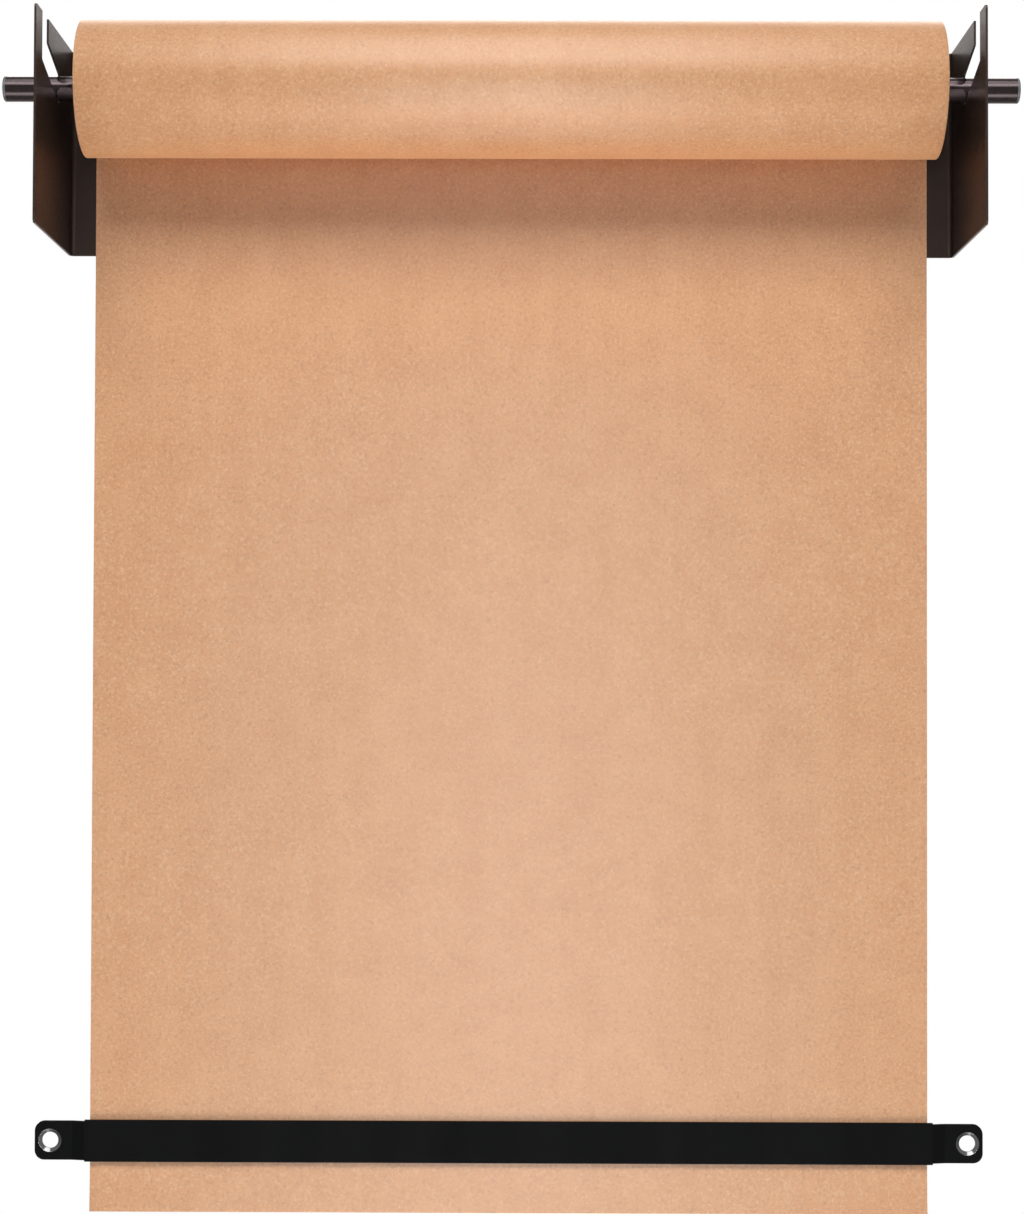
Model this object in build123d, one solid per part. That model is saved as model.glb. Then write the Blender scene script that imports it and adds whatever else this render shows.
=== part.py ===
from build123d import *
import math
import os

# Wall-mounted paper roll dispenser, in millimetres.
# The wall is the plane y = 0, the front faces -Y, +Z is up and +X is to the right.
# The origin is the middle of the four bracket screw holes, on the wall.

# Clearances
running_gap = 0.3
fit_gap = 0.05
cut_overrun = 5.0

# Paper: a stock kraft roll, drawn thicker than the real sheet
paper_width = 610.0
paper_thickness = 0.5
roll_diameter = 97.0
roll_wall_gap = 6.5
core_wall = 4.0
wrap_angle = 35.0
feed_turns = 1
tail_below_bar = 36.5

# Rod: a steel tube with a plastic plug in each end
rod_diameter = 18.0
rod_wall = 1.5
rod_overhang = 37.0
plug_head = 2.0
plug_edge = 0.8
plug_shank = 16.0
plug_wall = 1.6
plug_fin = 0.6
plug_fin_count = 2

# Brackets: bent steel sheet with an open slot for the rod
bracket_steel = 1.5
bracket_bend = 2.5
bracket_height = 151.0
bracket_corner = 3.0
side_gap = 19.0
flange_width = 40.0
flange_corner = 5.0
prong_width = 21.0
slot_play = 4.0
slot_reach = 47.0
slot_slope = 16.0
slot_corner = 1.5
rod_drop = 40.5
wall_hole = 6.0
wall_hole_inset = 14.0
wall_hole_spacing = 100.0

# Cutter bar: flat steel, its ends set back to the wall
bar_steel = 3.0
bar_height = 30.0
bar_below_rod = 758.0
bar_margin = 3.5
bar_ramp = 9.0
bar_bend = 6.0
tab_height = 28.0
tab_length = 36.5
tab_corner = 7.0
bar_hole = 11.7
bar_hole_inset = 11.0
countersink = 16.7
countersink_depth = 2.0

# Sizes that follow from those above
roll_radius = roll_diameter / 2
rod_radius = rod_diameter / 2
bracket_span = paper_width + 2 * side_gap
rod_length = bracket_span + 2 * (bracket_steel + rod_overhang)
tube_length = rod_length - 2 * plug_head
tube_bore = rod_diameter - 2 * rod_wall
bracket_top = bracket_height / 2
rod_y = -(roll_radius + roll_wall_gap)
rod_z = bracket_top - rod_drop
slot_width = rod_diameter + slot_play
mouth_y = rod_y - slot_reach
bracket_depth = prong_width + slot_width / 2 - mouth_y
flange_x = bracket_span / 2 + bracket_steel - flange_width
hole_x = flange_x + wall_hole_inset
core_bore = rod_diameter + 2 * running_gap
core_diameter = core_bore + 2 * core_wall
bar_z = rod_z - bar_below_rod
bar_bottom = bar_z - bar_height / 2
bar_top = bar_z + bar_height / 2
bar_face_length = paper_width + 2 * bar_margin
bar_length = bar_face_length + 2 * tab_length
bar_hole_x = bar_length / 2 - bar_hole_inset
tail_y = -(running_gap + paper_thickness / 2)
web_y = tail_y - paper_thickness - running_gap
bar_back_y = web_y - paper_thickness / 2 - running_gap
feed_length = feed_turns * math.pi * roll_diameter


def ring(outer_diameter, inner_diameter, length):
    """A tube along X on the rod's axis, centred on the middle of the dispenser."""
    axis_plane = Plane.YZ * Pos(rod_y, rod_z)
    section = Circle(outer_diameter / 2) - Circle(inner_diameter / 2)
    return extrude(axis_plane * section, amount=length / 2, both=True)


def slot_outline():
    """The rod's slot in the side plate: a mouth from above, then a slope down to the seat."""
    slope = math.radians(slot_slope)
    along = Vector(math.cos(slope), -math.sin(slope))
    across = Vector(math.sin(slope), math.cos(slope))
    half = slot_width / 2
    seat = Vector(rod_y, rod_z + slot_play / 2 - running_gap)
    low_end = seat - across * half
    high_end = seat + across * half
    front_y = mouth_y - half
    rear_y = mouth_y + half
    open_z = bracket_top + cut_overrun
    front_corner = low_end - along * ((low_end.X - front_y) / along.X)
    rear_corner = high_end - along * ((high_end.X - rear_y) / along.X)
    sides = Polyline(
        low_end, front_corner, (front_y, open_z), (rear_y, open_z), rear_corner, high_end
    )
    seat_arc = ThreePointArc(high_end, seat + along * half, low_end)
    outline = make_face(sides + seat_arc)
    corners = [v for v in outline.vertices() if abs(v.Y - front_corner.Y) < fit_gap]
    corners += [v for v in outline.vertices() if abs(v.Y - rear_corner.Y) < fit_gap]
    return fillet(corners, slot_corner)


def right_bracket():
    """A side plate and a wall flange bent from one sheet, slotted for the rod."""
    half_steel = bracket_steel / 2
    plate_x = bracket_span / 2 + half_steel
    fold = FilletPolyline(
        (flange_x, -half_steel),
        (plate_x, -half_steel),
        (plate_x, -bracket_depth),
        radius=bracket_bend + half_steel,
    )
    sheet = extrude(trace(fold, bracket_steel), amount=bracket_height / 2, both=True)
    plate_corners = sheet.edges().filter_by(Axis.X).group_by(Axis.Y)[0]
    sheet = fillet(plate_corners, bracket_corner)
    flange_corners = sheet.edges().filter_by(Axis.Y).group_by(Axis.X)[0]
    sheet = fillet(flange_corners, flange_corner)
    sheet -= extrude(Plane.YZ * slot_outline(), amount=bracket_span, both=True)
    drill = extrude(Plane.XZ * Circle(wall_hole / 2), amount=bracket_depth, both=True)
    for z in (-wall_hole_spacing / 2, wall_hole_spacing / 2):
        sheet -= Pos(hole_x, 0, z) * drill
    return sheet


def rod_plug():
    """A finned plastic plug for the tube's right end: a flat head on a hollow shank."""
    end_x = rod_length / 2
    head_x = tube_length / 2
    tip_x = head_x - plug_shank
    fin_radius = tube_bore / 2 - fit_gap
    root_radius = fin_radius - plug_fin
    hollow_radius = root_radius - plug_wall
    step = plug_shank / (2 * plug_fin_count)
    points = [(end_x, 0), (end_x, rod_radius), (head_x, rod_radius), (head_x, root_radius)]
    for fin in range(plug_fin_count):
        root_x = head_x - (2 * fin + 1) * step
        points += [(root_x, root_radius), (root_x, fin_radius)]
        points += [(root_x - step, root_radius)]
    points += [(tip_x, hollow_radius), (head_x, hollow_radius), (head_x, 0)]
    half_section = make_face(Polyline(*points, close=True))
    rim = half_section.vertices().group_by(Axis.X)[-1].sort_by(Axis.Y)[-1]
    half_section = chamfer(rim, plug_edge)
    turned = revolve(half_section, axis=Axis.X)
    return Pos(0, rod_y, rod_z) * turned


def paper_web():
    """The sheet from the back of the roll down to the cutter bar."""
    axis = Vector(rod_y, rod_z)
    wrap_radius = roll_radius + running_gap + paper_thickness / 2
    bend = Vector(web_y, bar_top)
    to_axis = axis - bend
    lean = math.degrees(math.asin(wrap_radius / to_axis.length))
    run = math.sqrt(to_axis.length**2 - wrap_radius**2)
    leave = bend + to_axis.normalized().rotate(Axis.Z, -lean) * run
    leave_angle = math.degrees(math.atan2(leave.Y - axis.Y, leave.X - axis.X))
    wrap = CenterArc(axis, wrap_radius, leave_angle, wrap_angle - leave_angle)
    fall = FilletPolyline(leave, bend, (web_y, bar_bottom), radius=bar_height)
    section = trace(wrap + fall, paper_thickness)
    return extrude(Plane.YZ * section, amount=paper_width / 2, both=True)


def paper_tail():
    """The free end of the sheet, with the length that one pull draws off the roll."""
    tail_end = bar_bottom - tail_below_bar
    height = bar_z + feed_length - tail_end
    leaf = Box(paper_width, paper_thickness, height)
    return Pos(0, tail_y, tail_end + height / 2) * leaf


def cutter_bar():
    """The tear bar: a straight face ahead of the paper, with tabs set back on the wall."""
    half_steel = bar_steel / 2
    face_y = bar_back_y - half_steel
    ramp_x = bar_face_length / 2 + bar_ramp
    right_side = [
        (bar_face_length / 2, face_y),
        (ramp_x, -half_steel),
        (bar_length / 2, -half_steel),
    ]
    left_side = [(-x, y) for x, y in reversed(right_side)]
    path = FilletPolyline(*left_side, *right_side, radius=bar_bend)
    strip = extrude(trace(path, bar_steel), amount=bar_height / 2, both=True)
    face = Rectangle(bar_face_length, bar_height)
    tabs = RectangleRounded(bar_length, tab_height, tab_corner)
    outline = face + tabs
    strip &= extrude(Plane.XZ * outline, amount=bar_length, both=True)
    for side in (-bar_hole_x, bar_hole_x):
        strip -= bar_hole_cutter(side)
    return Pos(0, 0, bar_z) * strip


def bar_hole_cutter(hole_place):
    """A through hole with a countersink in the tab's front face."""
    front_y = -bar_steel
    floor_y = front_y + countersink_depth
    flare = (countersink - bar_hole) / 2 / countersink_depth
    mouth_radius = countersink / 2 + flare * cut_overrun
    half_section = Polyline(
        (0, cut_overrun),
        (bar_hole / 2, cut_overrun),
        (bar_hole / 2, floor_y),
        (mouth_radius, front_y - cut_overrun),
        (0, front_y - cut_overrun),
        close=True,
    )
    return Pos(hole_place, 0, 0) * revolve(make_face(half_section), axis=Axis.Y)


bracket = right_bracket()
plug = rod_plug()
pieces = {
    "right_bracket": bracket,
    "left_bracket": mirror(bracket, about=Plane.YZ),
    "rod_tube": ring(rod_diameter, tube_bore, tube_length),
    "right_rod_plug": plug,
    "left_rod_plug": mirror(plug, about=Plane.YZ),
    "paper_core": ring(core_diameter, core_bore, paper_width),
    "paper_roll": ring(roll_diameter, core_diameter + 2 * fit_gap, paper_width),
    "paper_web": paper_web(),
    "paper_tail": paper_tail(),
    "cutter_bar": cutter_bar(),
}

os.makedirs("parts", exist_ok=True)
for name, piece in pieces.items():
    export_step(piece, f"parts/{name}.step")
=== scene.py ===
"""Dress, light and frame the wall-mounted paper roll dispenser."""

import logging
import math
import random
from dataclasses import dataclass
from enum import Enum
from typing import Any

import bmesh
import bpy
from mathutils import Matrix, Vector, noise


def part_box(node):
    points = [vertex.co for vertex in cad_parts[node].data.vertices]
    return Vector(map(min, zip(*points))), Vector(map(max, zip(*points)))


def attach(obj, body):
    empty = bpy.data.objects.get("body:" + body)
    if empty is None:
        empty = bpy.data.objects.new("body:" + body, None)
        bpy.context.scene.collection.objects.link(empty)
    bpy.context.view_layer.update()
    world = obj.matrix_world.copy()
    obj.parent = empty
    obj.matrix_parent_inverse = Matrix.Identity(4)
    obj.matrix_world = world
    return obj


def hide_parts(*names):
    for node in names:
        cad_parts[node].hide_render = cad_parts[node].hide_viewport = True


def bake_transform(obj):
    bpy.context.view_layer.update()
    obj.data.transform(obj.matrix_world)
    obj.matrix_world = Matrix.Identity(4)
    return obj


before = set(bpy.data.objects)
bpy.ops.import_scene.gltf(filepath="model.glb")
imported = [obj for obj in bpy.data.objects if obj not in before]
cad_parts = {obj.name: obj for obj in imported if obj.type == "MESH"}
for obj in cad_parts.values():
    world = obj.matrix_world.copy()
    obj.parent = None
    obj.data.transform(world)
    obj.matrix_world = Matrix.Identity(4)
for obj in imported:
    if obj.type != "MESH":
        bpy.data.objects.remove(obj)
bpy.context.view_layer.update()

MM = 0.001
LOG = logging.getLogger("dispenser")

# A Mix node's sockets share their names, so they go by number.
FACTOR = 0
FLOAT_A, FLOAT_B, FLOAT_OUT = 2, 3, 0
COLOUR_A, COLOUR_B, COLOUR_OUT = 6, 7, 2

# Most of a noise texture's values lie in the core, and nearly all of them in the reach.
CORE_LOW, CORE_HIGH = 0.35, 0.65
REACH_LOW, REACH_HIGH = 0.3, 0.7

BEVEL_SAMPLES = 6
CELLULOSE_IOR = 1.47


class Body(Enum):
    """The bodies that the pieces ride on."""

    WALL_FRAME = "wall_frame"
    ROD = "rod"
    ROLL = "roll"
    TAIL = "tail"


class Slot(Enum):
    """The record's material slot for the paper; no piece here takes its finish from it."""

    KRAFT = "kraft_paper"


def linear(code: str) -> tuple[float, float, float, float]:
    """Turn an sRGB hex colour to linear.

    Args:
        code: The colour as #rrggbb.

    Returns:
        Linear red, green and blue, and an alpha of 1.
    """
    channels = [int(code[i : i + 2], 16) / 255 for i in (1, 3, 5)]
    # The numbers are the sRGB curve's own.
    red, green, blue = [
        c / 12.92 if c <= 0.04045 else ((c + 0.055) / 1.055) ** 2.4 for c in channels
    ]
    return (red, green, blue, 1.0)


def per_metre(size_mm: float) -> float:
    """Give the texture scale at which one feature is size_mm across."""
    return 1.0 / (size_mm * MM)


def add_node(
    tree: bpy.types.NodeTree, kind: str, feeds: dict[Any, Any] | None = None, **settings: Any
) -> bpy.types.Node:
    """Add one node with its settings and links.

    Args:
        tree: The tree that gets the node.
        kind: Blender's name for the node's type.
        feeds: What goes into each input, by name or number: a socket to link, or a value.
        settings: The node's own properties.

    Returns:
        The new node.
    """
    node = tree.nodes.new(kind)
    for name, value in settings.items():
        setattr(node, name, value)
    for key, value in (feeds or {}).items():
        if isinstance(value, bpy.types.NodeSocket):
            tree.links.new(value, node.inputs[key])
        else:
            node.inputs[key].default_value = value
    return node


def empty_material(name: str) -> tuple[bpy.types.Material, bpy.types.NodeTree]:
    """Make a material with no nodes in it.

    Args:
        name: The material's name.

    Returns:
        The material and its node tree.
    """
    material = bpy.data.materials.new(name)
    material.use_nodes = True
    material.node_tree.nodes.clear()
    return material, material.node_tree


def about_axis(
    tree: bpy.types.NodeTree, place: bpy.types.NodeSocket, axis_y: float, axis_z: float
) -> tuple[bpy.types.NodeSocket, bpy.types.Node, bpy.types.NodeSocket]:
    """Measure a pattern's place from the roll's axis.

    Args:
        tree: The tree that gets the nodes.
        place: The place in the part's own frame.
        axis_y: The axis's distance from the wall.
        axis_z: The axis's height.

    Returns:
        The place from the axis, the node that holds its X, Y and Z, and the angle round the axis.
    """
    centred = add_node(
        tree, "ShaderNodeMapping", {"Vector": place, "Location": (0.0, -axis_y, -axis_z)}
    ).outputs["Vector"]
    parts = add_node(tree, "ShaderNodeSeparateXYZ", {"Vector": centred})
    angle = add_node(
        tree, "ShaderNodeMath", {0: parts.outputs["Z"], 1: parts.outputs["Y"]},
        operation="ARCTAN2",
    ).outputs["Value"]
    return centred, parts, angle


@dataclass(frozen=True)
class PowderCoat:
    """Powder paint baked on steel: satin, with a fine orange peel, rubbed lighter at its edges."""

    name: str
    colour: str
    shade: str
    rubbed: str
    roughness: float
    specular: float
    metallic: float
    tint: str
    relief: float
    peel_mm: float = 1.6  # the real peel is about 1 mm, drawn coarser so that it shows
    peel_depth_mm: float = 0.1
    cloud_mm: float = 45.0
    edge_mm: float = 0.25
    wear_start: float = 0.99  # the cosine of the turn at which an edge begins to rub through
    wear_full: float = 0.75
    patch_high: float = 0.75
    wear_most: float = 0.8
    gloss_swing: float = 0.05

    def material(self) -> bpy.types.Material:
        """Make the coat's material.

        Returns:
            The material.
        """
        material, tree = empty_material(self.name)
        place = add_node(tree, "ShaderNodeTexCoord").outputs["Object"]
        clouds = add_node(
            tree, "ShaderNodeTexNoise",
            {"Vector": place, "Scale": per_metre(self.cloud_mm), "Detail": 3.0},
        ).outputs["Fac"]
        peel = add_node(
            tree, "ShaderNodeTexNoise",
            {"Vector": place, "Scale": per_metre(self.peel_mm), "Detail": 2.0},
        ).outputs["Fac"]
        depth = add_node(
            tree, "ShaderNodeMapRange",
            {"Value": clouds, "From Min": CORE_LOW, "From Max": CORE_HIGH},
        ).outputs["Result"]
        coat = add_node(
            tree, "ShaderNodeMix",
            {FACTOR: depth, COLOUR_A: linear(self.shade), COLOUR_B: linear(self.colour)},
            data_type="RGBA",
        ).outputs[COLOUR_OUT]
        # Edges rub through first, so the coat is lighter where the rounded normal turns away.
        rounded = add_node(
            tree, "ShaderNodeBevel", {"Radius": self.edge_mm * MM}, samples=BEVEL_SAMPLES
        )
        flat = add_node(tree, "ShaderNodeNewGeometry").outputs["Normal"]
        turn = add_node(
            tree, "ShaderNodeVectorMath", {0: rounded.outputs["Normal"], 1: flat},
            operation="DOT_PRODUCT",
        ).outputs["Value"]
        edge = add_node(
            tree, "ShaderNodeMapRange",
            {"Value": turn, "From Min": self.wear_start, "From Max": self.wear_full},
        ).outputs["Result"]
        patchy = add_node(
            tree, "ShaderNodeMapRange",
            {
                "Value": peel, "From Min": REACH_LOW, "From Max": self.patch_high,
                "To Max": self.wear_most,
            },
        ).outputs["Result"]
        wear = add_node(
            tree, "ShaderNodeMath", {0: edge, 1: patchy}, operation="MULTIPLY"
        ).outputs["Value"]
        worn = add_node(
            tree, "ShaderNodeMix",
            {FACTOR: wear, COLOUR_A: coat, COLOUR_B: linear(self.rubbed)},
            data_type="RGBA",
        ).outputs[COLOUR_OUT]
        gloss = add_node(
            tree, "ShaderNodeMapRange",
            {
                "Value": peel, "From Min": REACH_LOW, "From Max": REACH_HIGH,
                "To Min": self.roughness - self.gloss_swing,
                "To Max": self.roughness + self.gloss_swing,
            },
        ).outputs["Result"]
        relief = add_node(
            tree, "ShaderNodeBump",
            {
                "Height": peel, "Strength": self.relief, "Distance": self.peel_depth_mm * MM,
                "Normal": rounded.outputs["Normal"],
            },
        ).outputs["Normal"]
        shader = add_node(
            tree, "ShaderNodeBsdfPrincipled",
            {
                "Base Color": worn, "Roughness": gloss, "Normal": relief,
                "Metallic": self.metallic, "Specular Tint": linear(self.tint),
                "Specular IOR Level": self.specular,
            },
        )
        add_node(tree, "ShaderNodeOutputMaterial", {"Surface": shader.outputs["BSDF"]})
        return material


@dataclass(frozen=True)
class DrilledCoat:
    """Black satin coat on the bar, cut away to bright turned steel in its two countersinks."""

    name: str
    colour: str
    shade: str
    steel: str
    roughness: float
    specular: float
    hole_x: float
    hole_z: float
    bare_radius: float
    bare_roughness: float = 0.14
    coat_ior: float = 1.5
    gloss_swing: float = 0.06
    peel_mm: float = 1.8
    cloud_mm: float = 60.0
    scuff_mm: float = 26.0
    scuff_stretch: float = 0.12
    groove_mm: float = 0.7  # turning marks are about 0.1 mm apart, drawn coarser so they show
    edge_mm: float = 0.6
    relief: float = 0.1
    relief_mm: float = 0.1

    def material(self) -> bpy.types.Material:
        """Make the bar's material.

        Returns:
            The material.
        """
        material, tree = empty_material(self.name)
        place = add_node(tree, "ShaderNodeTexCoord").outputs["Object"]
        # Both holes fold onto one by the absolute value of X.
        folded = add_node(
            tree, "ShaderNodeVectorMath", {0: place}, operation="ABSOLUTE"
        ).outputs["Vector"]
        from_hole = add_node(
            tree, "ShaderNodeVectorMath",
            {0: folded, 1: (self.hole_x, 0.0, -self.hole_z)},
            operation="SUBTRACT",
        ).outputs["Vector"]
        across = add_node(
            tree, "ShaderNodeVectorMath", {0: from_hole, 1: (1.0, 0.0, 1.0)}, operation="MULTIPLY"
        ).outputs["Vector"]
        radius = add_node(
            tree, "ShaderNodeVectorMath", {0: across}, operation="LENGTH"
        ).outputs["Value"]
        bare = add_node(
            tree, "ShaderNodeMath", {0: radius, 1: self.bare_radius}, operation="LESS_THAN"
        ).outputs["Value"]
        clouds = add_node(
            tree, "ShaderNodeTexNoise",
            {"Vector": place, "Scale": per_metre(self.cloud_mm), "Detail": 3.0},
        ).outputs["Fac"]
        peel = add_node(
            tree, "ShaderNodeTexNoise",
            {"Vector": place, "Scale": per_metre(self.peel_mm), "Detail": 2.0},
        ).outputs["Fac"]
        coat = add_node(
            tree, "ShaderNodeMix",
            {FACTOR: clouds, COLOUR_A: linear(self.shade), COLOUR_B: linear(self.colour)},
            data_type="RGBA",
        ).outputs[COLOUR_OUT]
        # Paper drawn over the bar leaves faint upright scuffs.
        stretched = add_node(
            tree, "ShaderNodeMapping", {"Vector": place, "Scale": (1.0, 1.0, self.scuff_stretch)}
        ).outputs["Vector"]
        scuffs = add_node(
            tree, "ShaderNodeTexNoise",
            {"Vector": stretched, "Scale": per_metre(self.scuff_mm), "Detail": 6.0},
        ).outputs["Fac"]
        gloss = add_node(
            tree, "ShaderNodeMapRange",
            {
                "Value": scuffs, "From Min": CORE_LOW, "From Max": CORE_HIGH,
                "To Min": self.roughness - self.gloss_swing,
                "To Max": self.roughness + self.gloss_swing,
            },
        ).outputs["Result"]
        grooves = add_node(
            tree, "ShaderNodeMath", {0: radius, 1: per_metre(self.groove_mm / math.tau)},
            operation="MULTIPLY",
        ).outputs["Value"]
        marks = add_node(tree, "ShaderNodeMath", {0: grooves}, operation="SINE").outputs["Value"]
        height = add_node(
            tree, "ShaderNodeMix", {FACTOR: bare, FLOAT_A: peel, FLOAT_B: marks},
            data_type="FLOAT",
        ).outputs[FLOAT_OUT]
        rounded = add_node(
            tree, "ShaderNodeBevel", {"Radius": self.edge_mm * MM}, samples=BEVEL_SAMPLES
        )
        relief = add_node(
            tree, "ShaderNodeBump",
            {
                "Height": height, "Strength": self.relief, "Distance": self.relief_mm * MM,
                "Normal": rounded.outputs["Normal"],
            },
        ).outputs["Normal"]
        colour = add_node(
            tree, "ShaderNodeMix",
            {FACTOR: bare, COLOUR_A: coat, COLOUR_B: linear(self.steel)},
            data_type="RGBA",
        ).outputs[COLOUR_OUT]
        surface_gloss = add_node(
            tree, "ShaderNodeMix", {FACTOR: bare, FLOAT_A: gloss, FLOAT_B: self.bare_roughness},
            data_type="FLOAT",
        ).outputs[FLOAT_OUT]
        shader = add_node(
            tree, "ShaderNodeBsdfPrincipled",
            {
                "Base Color": colour, "Roughness": surface_gloss, "Metallic": bare,
                "Normal": relief, "IOR": self.coat_ior, "Specular IOR Level": self.specular,
            },
        )
        add_node(tree, "ShaderNodeOutputMaterial", {"Surface": shader.outputs["BSDF"]})
        return material


@dataclass(frozen=True)
class KraftPaper:
    """Unbleached kraft paper: warm tan pulp, cloudy, with loose fibres and dark specks."""

    name: str = "unbleached_kraft_paper"
    pulp: str = "#dba273"
    thin: str = "#d49969"
    fibre: str = "#eec59f"
    bark: str = "#a8754e"
    roughness: float = 0.42
    smoother: float = 0.06
    rougher: float = 0.08
    specular: float = 0.28
    cloud_mm: float = 34.0
    streak_mm: float = 16.0
    streak_stretch: float = 0.02
    streak_share: float = 0.35
    thin_below: float = 0.36
    thick_above: float = 0.62
    grain_mm: float = 1.9  # single fibres are under 0.1 mm, drawn as tufts so that they show
    tuft_low: float = 0.5
    tuft_high: float = 0.74
    tuft_most: float = 0.8
    fleck_mm: float = 2.4
    fleck_shift: tuple[float, float, float] = (0.37, 0.11, 0.23)
    fleck_turn: tuple[float, float, float] = (0.4, 0.9, 0.3)
    fleck_low: float = 0.52
    fleck_high: float = 0.78
    fleck_most: float = 0.6
    speck_mm: float = 21.0
    speck_rim: float = 0.05
    speck_core: float = 0.025
    speck_most: float = 0.45
    relief: float = 0.18
    relief_mm: float = 0.12

    def material(self) -> bpy.types.Material:
        """Make the paper's material.

        Returns:
            The material.
        """
        material, tree = empty_material(self.name)
        place = add_node(tree, "ShaderNodeTexCoord").outputs["Object"]
        clouds = add_node(
            tree, "ShaderNodeTexNoise",
            {"Vector": place, "Scale": per_metre(self.cloud_mm), "Detail": 5.0, "Roughness": 0.6},
        ).outputs["Fac"]
        # The machine lays the pulp in bands along the web, so these vary only across its width.
        across = add_node(
            tree, "ShaderNodeMapping",
            {"Vector": place, "Scale": (1.0, self.streak_stretch, self.streak_stretch)},
        ).outputs["Vector"]
        streaks = add_node(
            tree, "ShaderNodeTexNoise",
            {"Vector": across, "Scale": per_metre(self.streak_mm), "Detail": 4.0},
        ).outputs["Fac"]
        formation = add_node(
            tree, "ShaderNodeMix",
            {FACTOR: self.streak_share, FLOAT_A: clouds, FLOAT_B: streaks},
            data_type="FLOAT",
        ).outputs[FLOAT_OUT]
        thickness = add_node(
            tree, "ShaderNodeMapRange",
            {"Value": formation, "From Min": self.thin_below, "From Max": self.thick_above},
        ).outputs["Result"]
        sheet = add_node(
            tree, "ShaderNodeMix",
            {FACTOR: thickness, COLOUR_A: linear(self.thin), COLOUR_B: linear(self.pulp)},
            data_type="RGBA",
        ).outputs[COLOUR_OUT]
        grain = add_node(
            tree, "ShaderNodeTexNoise",
            {"Vector": place, "Scale": per_metre(self.grain_mm), "Detail": 4.0, "Roughness": 0.7},
        ).outputs["Fac"]
        tufts = add_node(
            tree, "ShaderNodeMapRange",
            {
                "Value": grain, "From Min": self.tuft_low, "From Max": self.tuft_high,
                "To Max": self.tuft_most,
            },
        ).outputs["Result"]
        fibred = add_node(
            tree, "ShaderNodeMix",
            {FACTOR: tufts, COLOUR_A: sheet, COLOUR_B: linear(self.fibre)},
            data_type="RGBA",
        ).outputs[COLOUR_OUT]
        shifted = add_node(
            tree, "ShaderNodeMapping",
            {"Vector": place, "Location": self.fleck_shift, "Rotation": self.fleck_turn},
        ).outputs["Vector"]
        flecks = add_node(
            tree, "ShaderNodeTexNoise",
            {
                "Vector": shifted, "Scale": per_metre(self.fleck_mm),
                "Detail": 3.0, "Roughness": 0.65,
            },
        ).outputs["Fac"]
        dark = add_node(
            tree, "ShaderNodeMapRange",
            {
                "Value": flecks, "From Min": self.fleck_low, "From Max": self.fleck_high,
                "To Max": self.fleck_most,
            },
        ).outputs["Result"]
        flecked = add_node(
            tree, "ShaderNodeMix",
            {FACTOR: dark, COLOUR_A: fibred, COLOUR_B: linear(self.bark)},
            data_type="RGBA",
        ).outputs[COLOUR_OUT]
        spots = add_node(
            tree, "ShaderNodeTexVoronoi",
            {"Vector": place, "Scale": per_metre(self.speck_mm), "Randomness": 1.0},
        ).outputs["Distance"]
        specks = add_node(
            tree, "ShaderNodeMapRange",
            {
                "Value": spots, "From Min": self.speck_rim, "From Max": self.speck_core,
                "To Max": self.speck_most,
            },
        ).outputs["Result"]
        specked = add_node(
            tree, "ShaderNodeMix",
            {FACTOR: specks, COLOUR_A: flecked, COLOUR_B: linear(self.bark)},
            data_type="RGBA",
        ).outputs[COLOUR_OUT]
        sheen = add_node(
            tree, "ShaderNodeMapRange",
            {
                "Value": grain, "From Min": REACH_LOW, "From Max": REACH_HIGH,
                "To Min": self.roughness - self.smoother,
                "To Max": self.roughness + self.rougher,
            },
        ).outputs["Result"]
        relief = add_node(
            tree, "ShaderNodeBump",
            {"Height": grain, "Strength": self.relief, "Distance": self.relief_mm * MM},
        ).outputs["Normal"]
        shader = add_node(
            tree, "ShaderNodeBsdfPrincipled",
            {
                "Base Color": specked, "Roughness": sheen, "Normal": relief,
                "IOR": CELLULOSE_IOR, "Specular IOR Level": self.specular,
            },
        )
        add_node(tree, "ShaderNodeOutputMaterial", {"Surface": shader.outputs["BSDF"]})
        return material


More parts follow.
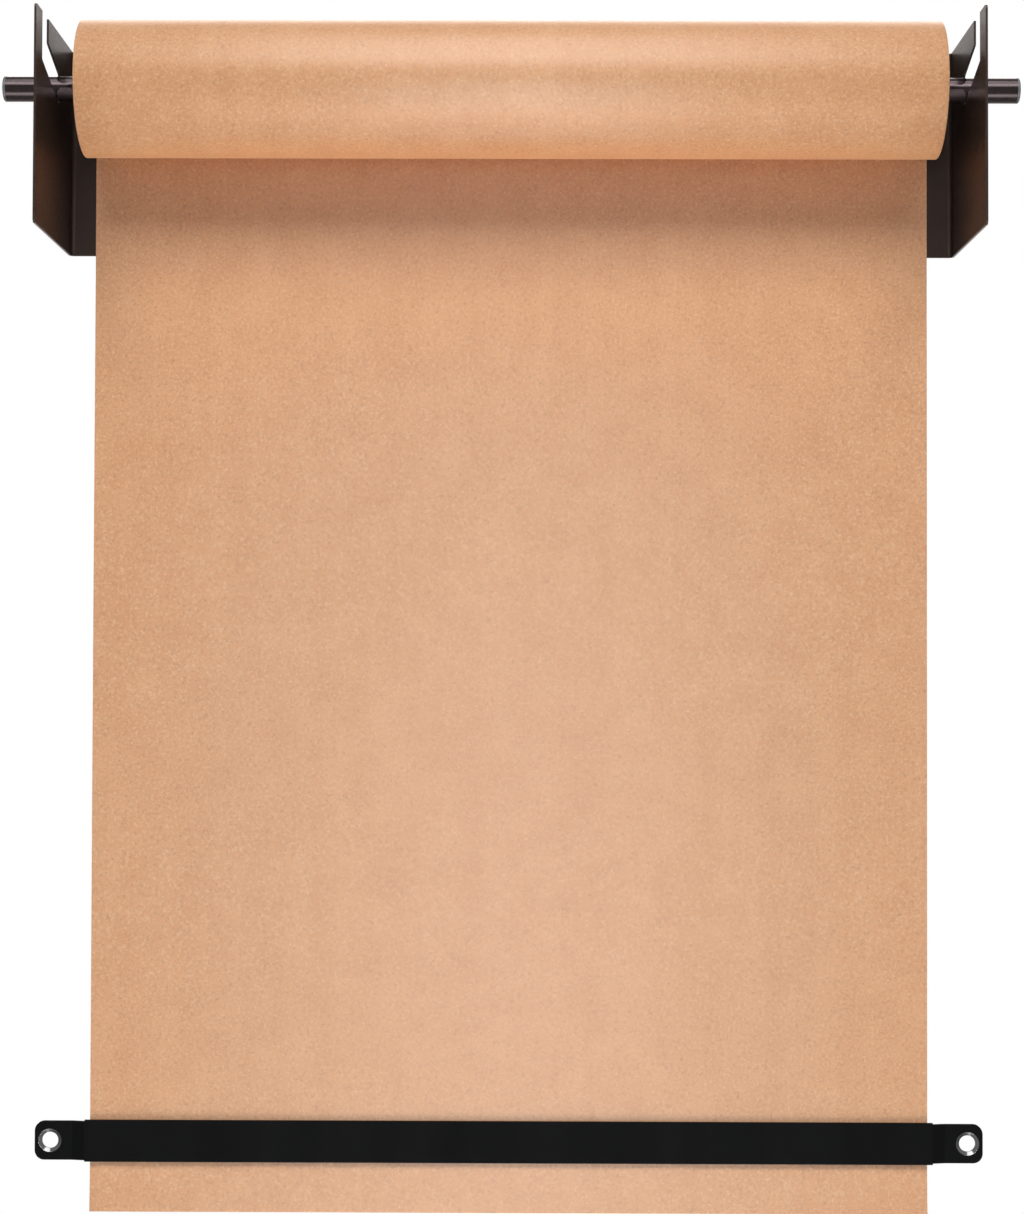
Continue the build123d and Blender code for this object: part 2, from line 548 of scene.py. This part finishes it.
@dataclass(frozen=True)
class WoundEdge:
    """The cut edges of wound kraft paper: one long spiral of pale edges and thin lines of painted
    shade where the gaps between turns lie.
    """

    axis_y: float
    axis_z: float
    name: str = "wound_kraft_edges"
    edge: str = "#d6a780"
    # The gap colour is painted shade: the dark lines between the turns stand for shadow in the
    # gaps.
    gap_shade: str = "#a87850"
    roughness: float = 0.85
    specular: float = 0.25
    turn_mm: float = 1.1  # the paper is about 0.13 mm thick, drawn coarser so that turns show
    turn_share: float = 0.45
    fray_mm: float = 2.0
    slack_mm: float = 5.0
    gap_shade_below: float = 0.35
    edge_above: float = 1.15
    relief: float = 0.35
    relief_mm: float = 0.25

    def material(self) -> bpy.types.Material:
        """Make the roll end's material.

        Returns:
            The material.
        """
        material, tree = empty_material(self.name)
        place = add_node(tree, "ShaderNodeTexCoord").outputs["Object"]
        centred, _, angle = about_axis(tree, place, self.axis_y, self.axis_z)
        radial = add_node(
            tree, "ShaderNodeVectorMath", {0: centred, 1: (0.0, 1.0, 1.0)}, operation="MULTIPLY"
        ).outputs["Vector"]
        radius = add_node(
            tree, "ShaderNodeVectorMath", {0: radial}, operation="LENGTH"
        ).outputs["Value"]
        phase = add_node(
            tree, "ShaderNodeMath",
            {0: radius, 1: per_metre(self.turn_mm / math.tau), 2: angle},
            operation="MULTIPLY_ADD",
        ).outputs["Value"]
        turns = add_node(tree, "ShaderNodeMath", {0: phase}, operation="SINE").outputs["Value"]
        fray = add_node(
            tree, "ShaderNodeTexNoise",
            {"Vector": place, "Scale": per_metre(self.fray_mm), "Detail": 4.0},
        ).outputs["Fac"]
        slack = add_node(
            tree, "ShaderNodeTexNoise",
            {"W": radius, "Scale": per_metre(self.slack_mm), "Detail": 3.0},
            noise_dimensions="1D",
        ).outputs["Fac"]
        packed = add_node(
            tree, "ShaderNodeMath", {0: fray, 1: slack}, operation="ADD"
        ).outputs["Value"]
        shown = add_node(
            tree, "ShaderNodeMath", {0: turns, 1: self.turn_share, 2: packed},
            operation="MULTIPLY_ADD",
        ).outputs["Value"]
        solid = add_node(
            tree, "ShaderNodeMapRange",
            {"Value": shown, "From Min": self.gap_shade_below, "From Max": self.edge_above},
        ).outputs["Result"]
        # Painted shade: where the spiral falls between turns, the colour darkens to the gap's
        # shade colour.
        colour = add_node(
            tree, "ShaderNodeMix",
            {FACTOR: solid, COLOUR_A: linear(self.gap_shade), COLOUR_B: linear(self.edge)},
            data_type="RGBA",
        ).outputs[COLOUR_OUT]
        relief = add_node(
            tree, "ShaderNodeBump",
            {"Height": shown, "Strength": self.relief, "Distance": self.relief_mm * MM},
        ).outputs["Normal"]
        shader = add_node(
            tree, "ShaderNodeBsdfPrincipled",
            {
                "Base Color": colour, "Roughness": self.roughness, "Normal": relief,
                "IOR": CELLULOSE_IOR, "Specular IOR Level": self.specular,
            },
        )
        add_node(tree, "ShaderNodeOutputMaterial", {"Surface": shader.outputs["BSDF"]})
        return material


@dataclass(frozen=True)
class CoreBoard:
    """Grey-brown core board, wound from strips, so a seam runs round it in a helix."""

    axis_y: float
    axis_z: float
    name: str = "spiral_wound_core_board"
    board: str = "#a98562"
    seam: str = "#6e5238"
    roughness: float = 0.82
    specular: float = 0.3
    pitch_mm: float = 62.0
    seam_rim: float = 0.985
    seam_core: float = 0.998
    seam_most: float = 0.8
    fibre_mm: float = 3.0
    fibre_share: float = 0.3
    relief: float = 0.3
    relief_mm: float = 0.15

    def material(self) -> bpy.types.Material:
        """Make the core's material.

        Returns:
            The material.
        """
        material, tree = empty_material(self.name)
        place = add_node(tree, "ShaderNodeTexCoord").outputs["Object"]
        _, parts, angle = about_axis(tree, place, self.axis_y, self.axis_z)
        phase = add_node(
            tree, "ShaderNodeMath",
            {0: parts.outputs["X"], 1: per_metre(self.pitch_mm / math.tau), 2: angle},
            operation="MULTIPLY_ADD",
        ).outputs["Value"]
        wave = add_node(tree, "ShaderNodeMath", {0: phase}, operation="COSINE").outputs["Value"]
        seam = add_node(
            tree, "ShaderNodeMapRange",
            {
                "Value": wave, "From Min": self.seam_rim, "From Max": self.seam_core,
                "To Max": self.seam_most,
            },
        ).outputs["Result"]
        fibres = add_node(
            tree, "ShaderNodeTexNoise",
            {"Vector": place, "Scale": per_metre(self.fibre_mm), "Detail": 4.0},
        ).outputs["Fac"]
        dark = add_node(
            tree, "ShaderNodeMath", {0: fibres, 1: self.fibre_share, 2: seam},
            operation="MULTIPLY_ADD",
        ).outputs["Value"]
        colour = add_node(
            tree, "ShaderNodeMix",
            {FACTOR: dark, COLOUR_A: linear(self.board), COLOUR_B: linear(self.seam)},
            data_type="RGBA",
        ).outputs[COLOUR_OUT]
        relief = add_node(
            tree, "ShaderNodeBump",
            {"Height": fibres, "Strength": self.relief, "Distance": self.relief_mm * MM},
        ).outputs["Normal"]
        shader = add_node(
            tree, "ShaderNodeBsdfPrincipled",
            {
                "Base Color": colour, "Roughness": self.roughness, "Normal": relief,
                "IOR": CELLULOSE_IOR, "Specular IOR Level": self.specular,
            },
        )
        add_node(tree, "ShaderNodeOutputMaterial", {"Surface": shader.outputs["BSDF"]})
        return material


@dataclass(frozen=True)
class MouldedPlastic:
    """Black polyethylene, moulded with a fine spark-eroded grain that keeps it matt."""

    name: str = "moulded_black_polyethylene"
    colour: str = "#1d1a1b"
    scuffed: str = "#3a3536"
    ior: float = 1.51
    roughness: float = 0.5
    gloss_swing: float = 0.1
    grain_mm: float = 0.9
    scuff_low: float = 0.5
    scuff_high: float = 0.8
    scuff_most: float = 0.5
    relief: float = 0.2
    relief_mm: float = 0.05

    def material(self) -> bpy.types.Material:
        """Make the plug's material.

        Returns:
            The material.
        """
        material, tree = empty_material(self.name)
        place = add_node(tree, "ShaderNodeTexCoord").outputs["Object"]
        grain = add_node(
            tree, "ShaderNodeTexNoise",
            {"Vector": place, "Scale": per_metre(self.grain_mm), "Detail": 3.0},
        ).outputs["Fac"]
        scuff = add_node(
            tree, "ShaderNodeMapRange",
            {
                "Value": grain, "From Min": self.scuff_low, "From Max": self.scuff_high,
                "To Max": self.scuff_most,
            },
        ).outputs["Result"]
        colour = add_node(
            tree, "ShaderNodeMix",
            {FACTOR: scuff, COLOUR_A: linear(self.colour), COLOUR_B: linear(self.scuffed)},
            data_type="RGBA",
        ).outputs[COLOUR_OUT]
        gloss = add_node(
            tree, "ShaderNodeMapRange",
            {
                "Value": grain, "To Min": self.roughness - self.gloss_swing,
                "To Max": self.roughness + self.gloss_swing,
            },
        ).outputs["Result"]
        relief = add_node(
            tree, "ShaderNodeBump",
            {"Height": grain, "Strength": self.relief, "Distance": self.relief_mm * MM},
        ).outputs["Normal"]
        shader = add_node(
            tree, "ShaderNodeBsdfPrincipled",
            {"Base Color": colour, "Roughness": gloss, "Normal": relief, "IOR": self.ior},
        )
        add_node(tree, "ShaderNodeOutputMaterial", {"Surface": shader.outputs["BSDF"]})
        return material


def dress(node_name: str, material: bpy.types.Material) -> None:
    """Give a CAD node its finish.

    Args:
        node_name: The node's name.
        material: The finish.
    """
    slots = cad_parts[node_name].data.materials
    slots.clear()
    slots.append(material)
    LOG.info("dressed %s in %s", node_name, material.name)


def new_piece(
    name: str, mesh_work: bmesh.types.BMesh, materials: list[bpy.types.Material]
) -> bpy.types.Object:
    """Turn a finished bmesh to an object at the origin.

    Args:
        name: The piece's name.
        mesh_work: The shape, freed here.
        materials: Its materials, in the order of the faces' numbers.

    Returns:
        The object, linked to the scene.
    """
    mesh = bpy.data.meshes.new(name)
    mesh_work.to_mesh(mesh)
    mesh_work.free()
    for material in materials:
        mesh.materials.append(material)
    piece = bpy.data.objects.new(name, mesh)
    bpy.context.collection.objects.link(piece)
    LOG.info("made %s with %d faces", name, len(mesh.polygons))
    return piece


@dataclass
class RollAxis:
    """Where the roll turns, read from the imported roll."""

    y: float
    z: float
    radius: float
    half_width: float

    @classmethod
    def from_frame(cls) -> "RollAxis":
        """Read the axis and the sizes from the roll's box."""
        low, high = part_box("paper_roll")
        return cls(
            y=(low[1] + high[1]) / 2,
            z=(low[2] + high[2]) / 2,
            radius=(high[2] - low[2]) / 2,
            half_width=(high[0] - low[0]) / 2,
        )


@dataclass
class Brackets:
    """The two bent side plates with their wall flanges."""

    coat: PowderCoat = PowderCoat(
        name="dark_bronze_powder_coat",
        colour="#2b2220", shade="#251d1b", rubbed="#5f534b",
        roughness=0.32, specular=0.2, metallic=0.2, tint="#f0d8c8", relief=0.01,
    )

    def dress(self) -> None:
        """Coat both brackets."""
        finish = self.coat.material()
        for side in ("left_bracket", "right_bracket"):
            dress(side, finish)


@dataclass
class HangingRod:
    """The steel tube through the roll, with a plug in each end."""

    coat: PowderCoat = PowderCoat(
        name="dark_bronze_enamel_on_drawn_tube",
        colour="#2d2627", shade="#272122", rubbed="#8d8285",
        roughness=0.15, specular=0.25, metallic=0.7, tint="#efe4e2", relief=0.03, peel_mm=2.6,
    )
    plug: MouldedPlastic = MouldedPlastic()

    def dress(self) -> None:
        """Coat the tube and give the plugs their plastic."""
        dress("rod_tube", self.coat.material())
        plastic = self.plug.material()
        for side in ("left_rod_plug", "right_rod_plug"):
            dress(side, plastic)


@dataclass
class CutterBar:
    """The flat tear bar with a countersunk hole in each tab."""

    hole_x: float = 334 * MM
    hole_z: float = -723 * MM
    countersink_radius: float = 8.35 * MM

    def dress(self) -> None:
        """Coat the bar and bare its countersinks."""
        coat = DrilledCoat(
            name="black_satin_coat_on_flat_steel",
            colour="#0d0e0f", shade="#0a0a0b", steel="#5a5a5b",
            roughness=0.62, specular=0.02,
            hole_x=self.hole_x, hole_z=self.hole_z, bare_radius=self.countersink_radius,
        )
        dress("cutter_bar", coat.material())


@dataclass
class PaperRoll:
    """The wound paper, with its turns a little out of line at both ends, on its board core."""

    axis: RollAxis
    paper: bpy.types.Material
    bore_radius: float = 13.35 * MM
    ring_cuts: int = 30
    spin_steps: int = 180
    end_play: float = 0.45 * MM
    end_facing: float = 0.6
    rim: float = 0.5 * MM
    rim_segments: int = 2
    merge_gap: float = 0.001 * MM
    near: float = 0.01 * MM
    seed: int = 11

    def at(self, x: float, radius: float) -> Vector:
        """Give the point above the axis at that place and radius."""
        return Vector((x, self.axis.y, self.axis.z + radius))

    def outline(self, work: bmesh.types.BMesh) -> list[bmesh.types.BMEdge]:
        """Draw half of the roll's section, with each end cut into uneven turns.

        Args:
            work: The bmesh to draw in.

        Returns:
            The section's edges.
        """
        end = self.axis.half_width
        corners = [
            work.verts.new(self.at(x, r))
            for x, r in (
                (-end, self.bore_radius), (-end, self.axis.radius),
                (end, self.axis.radius), (end, self.bore_radius),
            )
        ]
        sides = [work.edges.new((corners[i], corners[(i + 1) % 4])) for i in range(4)]
        cut = bmesh.ops.subdivide_edges(work, edges=[sides[0], sides[2]], cuts=self.ring_cuts)
        uneven = random.Random(self.seed)
        for vert in [g for g in cut["geom_inner"] if isinstance(g, bmesh.types.BMVert)]:
            vert.co.x -= math.copysign(self.end_play * uneven.random(), vert.co.x)
        return list(work.edges)

    def build(self) -> bpy.types.Object:
        """Spin the section to the roll and set it on its body.

        Returns:
            The roll.
        """
        work = bmesh.new()
        section = self.outline(work)
        bmesh.ops.spin(
            work, geom=list(work.verts) + section, cent=self.at(0.0, 0.0), axis=(1.0, 0.0, 0.0),
            angle=math.tau, steps=self.spin_steps, use_merge=True,
        )
        bmesh.ops.remove_doubles(work, verts=work.verts, dist=self.merge_gap)
        rims = [e for e in work.edges if self.on_rim(e)]
        bmesh.ops.bevel(
            work, geom=rims, offset=self.rim, segments=self.rim_segments, profile=0.5,
            affect="EDGES", material=-1,
        )
        bmesh.ops.recalc_face_normals(work, faces=work.faces)
        for face in work.faces:
            face.smooth = True
            face.material_index = 1 if abs(face.normal.x) > self.end_facing else 0
        edges = WoundEdge(self.axis.y, self.axis.z).material()
        roll = new_piece("wound_roll", work, [self.paper, edges])
        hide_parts("paper_roll")
        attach(roll, Body.ROLL.value)
        dress("paper_core", CoreBoard(self.axis.y, self.axis.z).material())
        return roll

    def on_rim(self, edge: bmesh.types.BMEdge) -> bool:
        """Say if an edge lies along one of the roll's two outer rims.

        Args:
            edge: The edge.

        Returns:
            True if both of its ends lie on a rim.
        """
        for vert in edge.verts:
            out = math.hypot(vert.co.y - self.axis.y, vert.co.z - self.axis.z)
            off_end = abs(abs(vert.co.x) - self.axis.half_width)
            if off_end >= self.near or abs(out - self.axis.radius) >= self.near:
                return False
        return True


@dataclass
class PaperSheet:
    """The paper off the back of the roll: the web down to the bar and its free tail below."""

    axis: RollAxis
    paper: bpy.types.Material
    thickness: float = 0.25 * MM
    lift: float = 0.3 * MM
    wrap_angle: float = math.radians(35.0)
    web_y: float = -1.35 * MM
    tail_y: float = -0.55 * MM
    bar_top: float = -708 * MM
    bar_bottom: float = -738 * MM
    tail_top: float = -418.3 * MM
    tail_end: float = -774.5 * MM
    across_cuts: int = 60
    wrap_steps: int = 16
    fall_cuts: int = 70
    bar_cuts: int = 3
    leaf_cuts: int = 23
    tail_cuts: int = 11
    ripple: float = 0.7 * MM
    ripple_across: float = 5.0  # ripples per metre
    ripple_down: float = 1.6
    curl: float = 1.4 * MM
    curl_swing: float = 0.5
    curl_across: float = 6.0
    curl_row: float = 3.0

    def top_row(self, work: bmesh.types.BMesh, y: float, z: float) -> list[bmesh.types.BMEdge]:
        """Start a sheet from one edge across its width.

        Args:
            work: The bmesh to draw in.
            y: The edge's place from the wall.
            z: The edge's height.

        Returns:
            The edge, cut into short lengths.
        """
        ends = [work.verts.new((x, y, z)) for x in (-self.axis.half_width, self.axis.half_width)]
        edge = work.edges.new(ends)
        bmesh.ops.subdivide_edges(work, edges=[edge], cuts=self.across_cuts)
        return list(work.edges)

    def draw_down(
        self, work: bmesh.types.BMesh, row: list[bmesh.types.BMEdge], by: Vector, cuts: int
    ) -> list[bmesh.types.BMEdge]:
        """Extrude a row of edges and cut the new length across.

        Args:
            work: The bmesh.
            row: The edges to draw from.
            by: How far the new row lies from the old one.
            cuts: How many rows go between them.

        Returns:
            The last row.
        """
        grown = bmesh.ops.extrude_edge_only(work, edges=row)["geom"]
        verts = [g for g in grown if isinstance(g, bmesh.types.BMVert)]
        last = [
            g for g in grown
            if isinstance(g, bmesh.types.BMEdge) and all(v in verts for v in g.verts)
        ]
        bmesh.ops.translate(work, verts=verts, vec=by)
        rungs = {e for v in verts for e in v.link_edges} - set(last)
        bmesh.ops.subdivide_edges(work, edges=list(rungs), cuts=cuts, use_grid_fill=True)
        return last

    def leave(self) -> tuple[float, float]:
        """Work out where the web leaves the roll.

        Returns:
            The angle round the axis, and the length of the straight fall to the bar.
        """
        radius = self.axis.radius + self.lift
        away = Vector((self.axis.y - self.web_y, self.axis.z - self.bar_top))
        fall = math.sqrt(away.length_squared - radius**2)
        lean = math.asin(radius / away.length)
        direction = math.atan2(away.y, away.x) - lean
        point = Vector((self.web_y, self.bar_top)) + fall * Vector(
            (math.cos(direction), math.sin(direction))
        )
        return math.atan2(point.y - self.axis.z, point.x - self.axis.y), fall

    def build_web(self) -> bpy.types.Object:
        """Make the web: round the back of the roll, straight down, then behind the bar.

        Returns:
            The web.
        """
        angle, fall = self.leave()
        radius = self.axis.radius + self.lift
        work = bmesh.new()
        row = self.top_row(
            work,
            self.axis.y + radius * math.cos(self.wrap_angle),
            self.axis.z + radius * math.sin(self.wrap_angle),
        )
        spun = bmesh.ops.spin(
            work, geom=list(work.verts) + row, cent=(0.0, self.axis.y, self.axis.z),
            axis=(1.0, 0.0, 0.0), angle=angle - self.wrap_angle, steps=self.wrap_steps,
        )
        row = [g for g in spun["geom_last"] if isinstance(g, bmesh.types.BMEdge)]
        start = row[0].verts[0].co.copy()
        to_bar = Vector((0.0, self.web_y - start.y, self.bar_top - start.z))
        row = self.draw_down(work, row, to_bar, self.fall_cuts)
        behind_bar = Vector((0.0, 0.0, self.bar_bottom - self.bar_top))
        self.draw_down(work, row, behind_bar, self.bar_cuts)
        for vert in work.verts:
            self.settle(vert, radius)
        web = self.finish("hanging_web", work)
        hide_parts("paper_web")
        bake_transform(web)
        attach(web, Body.WALL_FRAME.value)
        return web

    def settle(self, vert: bmesh.types.BMVert, radius: float) -> None:
        """Bed the web's start on the roll and let its fall waver a little.

        Args:
            vert: The vertex to move.
            radius: The web's radius round the roll.
        """
        around = Vector((0.0, vert.co.y - self.axis.y, vert.co.z - self.axis.z))
        if vert.co.z > self.axis.z:
            start = min(1.0, (vert.co.z - self.axis.z) / (radius * math.sin(self.wrap_angle)))
            vert.co -= around.normalized() * (self.lift + self.thickness) * start**3
            return
        share = (self.axis.z - vert.co.z) / (self.axis.z - self.bar_top)
        loose = math.sin(math.pi * min(1.0, share)) ** 2
        wave = noise.noise(
            Vector((vert.co.x * self.ripple_across, 0.0, vert.co.z * self.ripple_down))
        )
        vert.co.y -= self.ripple * loose * (1.0 + wave)

    def build_tail(self) -> bpy.types.Object:
        """Make the free end below the bar, its lowest edge curling forward a little.

        Returns:
            The tail.
        """
        work = bmesh.new()
        row = self.top_row(work, self.tail_y, self.tail_top)
        to_bar = Vector((0.0, 0.0, self.bar_bottom - self.tail_top))
        row = self.draw_down(work, row, to_bar, self.leaf_cuts)
        past_bar = Vector((0.0, 0.0, self.tail_end - self.bar_bottom))
        self.draw_down(work, row, past_bar, self.tail_cuts)
        for vert in work.verts:
            below = max(0.0, self.bar_bottom - vert.co.z) / (self.bar_bottom - self.tail_end)
            wave = noise.noise(Vector((vert.co.x * self.curl_across, self.curl_row, 0.0)))
            vert.co.y -= self.curl * below**2 * (1.0 + self.curl_swing * wave)
        tail = self.finish("free_tail", work)
        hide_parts("paper_tail")
        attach(tail, Body.TAIL.value)
        return tail

    def finish(self, name: str, work: bmesh.types.BMesh) -> bpy.types.Object:
        """Give a sheet its thickness, with crisp cut edges.

        Args:
            name: The piece's name.
            work: The sheet, with no thickness yet.

        Returns:
            The piece.
        """
        bmesh.ops.recalc_face_normals(work, faces=work.faces)
        for face in work.faces:
            face.smooth = True
        for edge in work.edges:
            edge.smooth = not edge.is_boundary
        piece = new_piece(name, work, [self.paper])
        solid = piece.modifiers.new("paper_thickness", "SOLIDIFY")
        solid.thickness = self.thickness
        solid.offset = 0.0
        return piece


@dataclass(frozen=True)
class Lamp:
    """A soft rectangular lamp, or a pale card that only shows in reflections."""

    name: str
    place: tuple[float, float, float]
    aim: tuple[float, float, float]
    size: tuple[float, float]
    power: float
    spread_degrees: float = 180.0
    gloss_only: bool = False

    def hang(self) -> None:
        """Hang the lamp, turned to what it lights and hidden from the eye."""
        lamp = bpy.data.lights.new(self.name, "AREA")
        lamp.shape = "RECTANGLE"
        lamp.size, lamp.size_y = self.size
        lamp.energy = self.power
        lamp.spread = math.radians(self.spread_degrees)
        holder = bpy.data.objects.new(self.name, lamp)
        holder.location = self.place
        towards = Vector(self.aim) - Vector(self.place)
        holder.rotation_euler = towards.to_track_quat("-Z", "Y").to_euler()
        holder.visible_camera = False
        holder.visible_diffuse = not self.gloss_only
        bpy.context.collection.objects.link(holder)


@dataclass
class Studio:
    """A pale floor in a white room, soft lamps and reflected cards, and the camera."""

    white: str = "#ffffff"
    ambient: float = 0.15
    floor_z: float = -1.9
    floor_half: float = 1.6
    floor_colours: tuple[str, str] = ("#eeeeee", "#f3f3f2")
    floor_cloud_mm: float = 400.0
    floor_roughness: float = 0.9
    floor_specular: float = 0.1
    fade_start: float = 0.2
    fade_end_share: float = 0.95
    fade_least: float = 0.6
    lamps: tuple[Lamp, ...] = (
        Lamp("key_lamp", (0.0, -4.6, 4.0), (0.0, 0.0, -0.2), (6.0, 2.4), 310.0),
        Lamp("floor_wash", (0.0, -1.2, -0.9), (0.0, -1.2, -1.9), (1.2, 0.8), 18.0, 110.0),
        Lamp("roll_fill", (0.0, -0.85, -0.95), (0.0, -0.1, 0.03), (1.2, 0.1), 0.07, 26.0),
        Lamp("low_lamp", (0.0, -0.075, -0.9), (0.0, -0.075, 0.0), (1.3, 0.04), 0.12, 14.0),
        Lamp("back_lamp", (0.0, 2.6, 1.9), (0.0, 0.0, -0.2), (3.0, 1.4), 40.0),
        Lamp("left_lamp", (-2.4, 1.1, 0.2), (-0.33, 0.0, -0.05), (2.0, 2.0), 22.0),
        Lamp("right_lamp", (2.4, 1.1, 0.2), (0.33, 0.0, -0.05), (2.0, 2.0), 22.0),
        Lamp(
            "top_card", (0.0, -1.34, 1.94), (0.0, -0.06, 0.03), (1.8, 2.6), 112.0,
            gloss_only=True,
        ),
        Lamp(
            "low_card", (0.0, -0.85, -1.2), (0.0, -0.07, 0.03), (1.8, 1.4), 7.0, 44.0,
            gloss_only=True,
        ),
        Lamp(
            "front_card", (0.0, -1.95, -0.86), (0.0, 0.0, -0.66), (0.1, 1.82), 62.0,
            gloss_only=True,
        ),
    )
    camera_place: tuple[float, float, float] = (0.0102, -1.76, -0.3831)
    level: float = math.radians(90.0)
    pitch: float = math.radians(1.622)
    roll: float = math.radians(-0.175)
    yaw: float = math.radians(0.277)
    lens: float = 84.375
    sensor: float = 36.0

    def build(self) -> None:
        """Make the whole stage."""
        self.build_floor()
        self.build_world()
        for lamp in self.lamps:
            lamp.hang()
        self.build_camera()
        bpy.context.scene.view_settings.view_transform = "Standard"

    def build_floor(self) -> None:
        """Lay the floor well below the tail at its longest."""
        work = bmesh.new()
        bmesh.ops.create_grid(
            work, x_segments=1, y_segments=1, size=self.floor_half,
            matrix=Matrix.Translation((0.0, 0.0, self.floor_z)),
        )
        material, tree = empty_material("matt_white_floor")
        place = add_node(tree, "ShaderNodeTexCoord").outputs["Object"]
        clouds = add_node(
            tree, "ShaderNodeTexNoise",
            {"Vector": place, "Scale": per_metre(self.floor_cloud_mm)},
        ).outputs["Fac"]
        darker, paler = self.floor_colours
        colour = add_node(
            tree, "ShaderNodeMix",
            {FACTOR: clouds, COLOUR_A: linear(darker), COLOUR_B: linear(paler)},
            data_type="RGBA",
        ).outputs[COLOUR_OUT]
        shader = add_node(
            tree, "ShaderNodeBsdfPrincipled",
            {
                "Base Color": colour, "Roughness": self.floor_roughness,
                "Specular IOR Level": self.floor_specular,
            },
        )
        # To the eye the floor pales outwards and meets the white room without an edge.
        outwards = add_node(
            tree, "ShaderNodeVectorMath", {0: place, 1: (1.0, 1.0, 0.0)}, operation="MULTIPLY"
        ).outputs["Vector"]
        away = add_node(
            tree, "ShaderNodeVectorMath", {0: outwards}, operation="LENGTH"
        ).outputs["Value"]
        pale = add_node(
            tree, "ShaderNodeMapRange",
            {
                "Value": away, "From Min": self.fade_start,
                "From Max": self.fade_end_share * self.floor_half,
                "To Min": self.fade_least, "To Max": 1.0,
            },
            interpolation_type="SMOOTHSTEP",
        ).outputs["Result"]
        faded = add_node(
            tree, "ShaderNodeMath", {0: pale, 1: self.seen(tree)}, operation="MULTIPLY"
        ).outputs["Value"]
        white = add_node(
            tree, "ShaderNodeEmission", {"Color": linear(self.white), "Strength": 1.0}
        )
        mixed = add_node(
            tree, "ShaderNodeMixShader",
            {FACTOR: faded, 1: shader.outputs["BSDF"], 2: white.outputs["Emission"]},
        )
        add_node(tree, "ShaderNodeOutputMaterial", {"Surface": mixed.outputs["Shader"]})
        new_piece("floor", work, [material])

    def seen(self, tree: bpy.types.NodeTree) -> bpy.types.NodeSocket:
        """Tell rays that reach the eye, straight or by reflection, from those that only light.

        Args:
            tree: The tree that asks.

        Returns:
            A socket that is 1 for a ray that is seen, and 0 for the rest.
        """
        path = add_node(tree, "ShaderNodeLightPath")
        direct = add_node(
            tree, "ShaderNodeMath",
            {0: path.outputs["Is Camera Ray"], 1: path.outputs["Is Glossy Ray"]},
            operation="MAXIMUM",
        ).outputs["Value"]
        return add_node(
            tree, "ShaderNodeMath", {0: direct, 1: path.outputs["Is Transmission Ray"]},
            operation="MAXIMUM",
        ).outputs["Value"]

    def build_world(self) -> None:
        """Light all round softly, and show white to the eye and in reflections."""
        world = bpy.data.worlds.new("white_room")
        world.use_nodes = True
        tree = world.node_tree
        tree.nodes.clear()
        white = linear(self.white)
        soft = add_node(tree, "ShaderNodeBackground", {"Color": white, "Strength": self.ambient})
        plain = add_node(tree, "ShaderNodeBackground", {"Color": white, "Strength": 1.0})
        mixed = add_node(
            tree, "ShaderNodeMixShader",
            {
                FACTOR: self.seen(tree),
                1: soft.outputs["Background"], 2: plain.outputs["Background"],
            },
        )
        add_node(tree, "ShaderNodeOutputWorld", {"Surface": mixed.outputs["Shader"]})
        bpy.context.scene.world = world

    def build_camera(self) -> None:
        """Set the camera square to the wall, tilted up a little."""
        data = bpy.data.cameras.new("camera")
        data.sensor_fit = "HORIZONTAL"
        data.sensor_width = self.sensor
        data.lens = self.lens
        camera = bpy.data.objects.new("camera", data)
        camera.location = self.camera_place
        camera.rotation_euler = (self.level + self.pitch, self.roll, self.yaw)
        bpy.context.collection.objects.link(camera)
        bpy.context.scene.camera = camera


def main() -> None:
    """Dress the dispenser, piece by piece, and light it."""
    logging.basicConfig(level=logging.INFO, format="%(name)s: %(message)s")
    axis = RollAxis.from_frame()
    paper = KraftPaper().material()
    Brackets().dress()
    HangingRod().dress()
    CutterBar().dress()
    PaperRoll(axis, paper).build()
    sheet = PaperSheet(axis, paper)
    sheet.build_web()
    sheet.build_tail()
    Studio().build()


if __name__ == "__main__":
    main()
